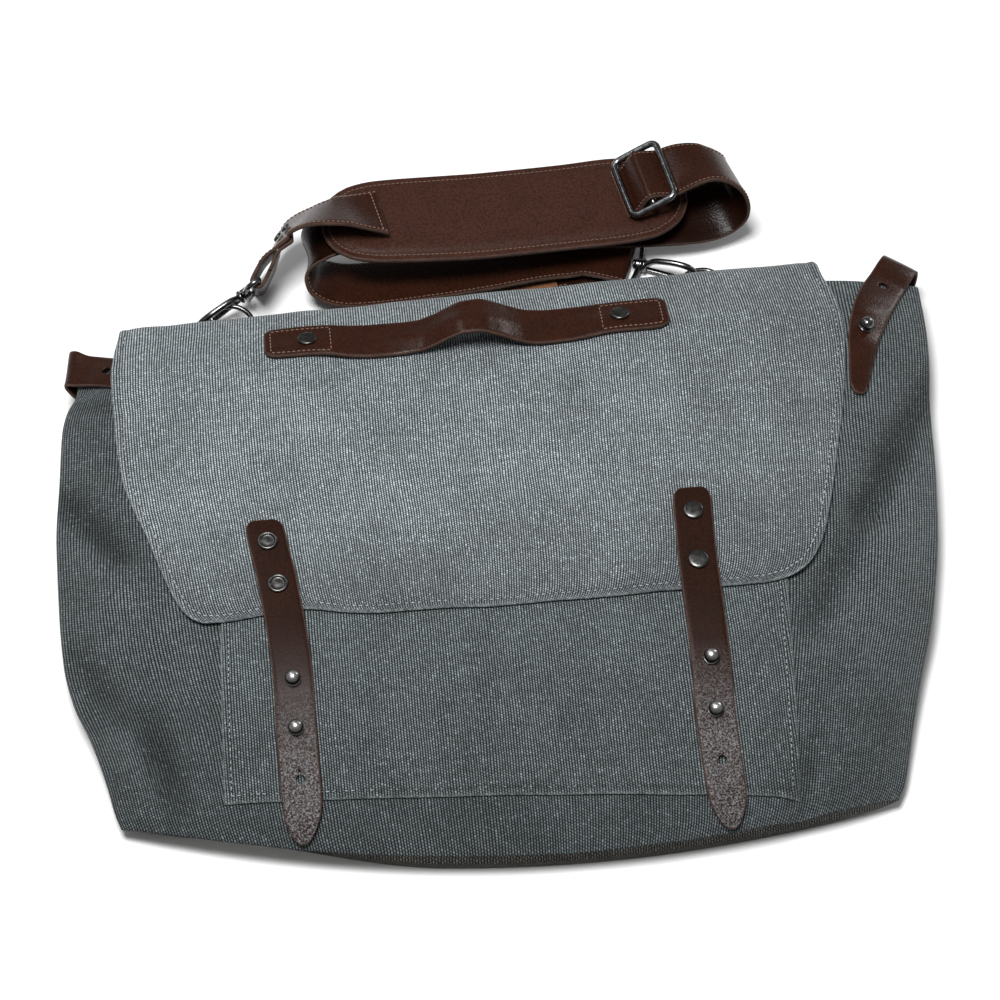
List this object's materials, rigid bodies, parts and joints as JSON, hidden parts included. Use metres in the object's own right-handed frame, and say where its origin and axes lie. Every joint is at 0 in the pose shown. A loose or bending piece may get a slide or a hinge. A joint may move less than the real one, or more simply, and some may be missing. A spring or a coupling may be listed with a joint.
{
  "type": "messenger bag",
  "caption": "Grey canvas messenger bag lying on its back, with a flap, leather closing straps, a carrying handle and a padded shoulder strap on swivel hooks.",
  "frame": {"origin": "on the floor under the middle of the back panel", "axes": "+X across the bag to the right as seen from its front, +Y towards the flap fold, +Z out of the front, up from the floor"},
  "size_m": [0.5269, 0.461, 0.077],
  "materials": {
    "canvas": "washed woven canvas",
    "flap_canvas": "washed woven canvas",
    "leather": "semi-gloss smooth leather",
    "pad_leather": "satin smooth leather",
    "gunmetal": "polished gunmetal"
  },
  "bodies": {
    "bag": {"body": "canvas", "front_pocket": "canvas", "flap": "flap_canvas", "carry_handle": "leather", "closure_strap_left": "leather", "closure_strap_right": "leather", "side_strap_left": "leather", "side_strap_right": "leather", "ring_tab_left": "leather", "ring_tab_right": "leather", "shoulder_pad": "pad_leather", "strap_long": "leather", "strap_tail": "leather", "closure_rivet_left_upper": "gunmetal", "closure_rivet_left_lower": "gunmetal", "closure_stud_left_upper": "gunmetal", "closure_stud_left_lower": "gunmetal", "closure_rivet_right_upper": "gunmetal", "closure_rivet_right_lower": "gunmetal", "closure_stud_right_upper": "gunmetal", "closure_stud_right_lower": "gunmetal", "handle_rivet_left": "gunmetal", "handle_rivet_right": "gunmetal", "side_stud_right": "gunmetal", "ring_left": "gunmetal", "ring_right": "gunmetal", "hook_loop_left": "gunmetal", "hook_loop_right": "gunmetal", "hook_left": "gunmetal", "hook_right": "gunmetal", "tail_rivet_upper": "gunmetal", "tail_rivet_lower": "gunmetal", "slider": "gunmetal"},
    "gate_left": {"hook_gate_left": "gunmetal"},
    "gate_right": {"hook_gate_right": "gunmetal"}
  },
  "joints": [
    {"name": "hook_gate_left", "type": "hinge", "parent": "bag", "child": "gate_left", "pos_m": [-0.13386, 0.21468, 0.01396], "axis": [-0.5057, 0.8137, 0.2866], "range_deg": [0, 10], "stiffness_Nm_per_rad": 0.02, "springref_deg": -8.59},
    {"name": "hook_gate_right", "type": "hinge", "parent": "bag", "child": "gate_right", "pos_m": [0.11921, 0.21983, 0.00343], "axis": [-0.3717, -0.9283, 0], "range_deg": [0, 20], "stiffness_Nm_per_rad": 0.02, "springref_deg": -8.59}
  ]
}
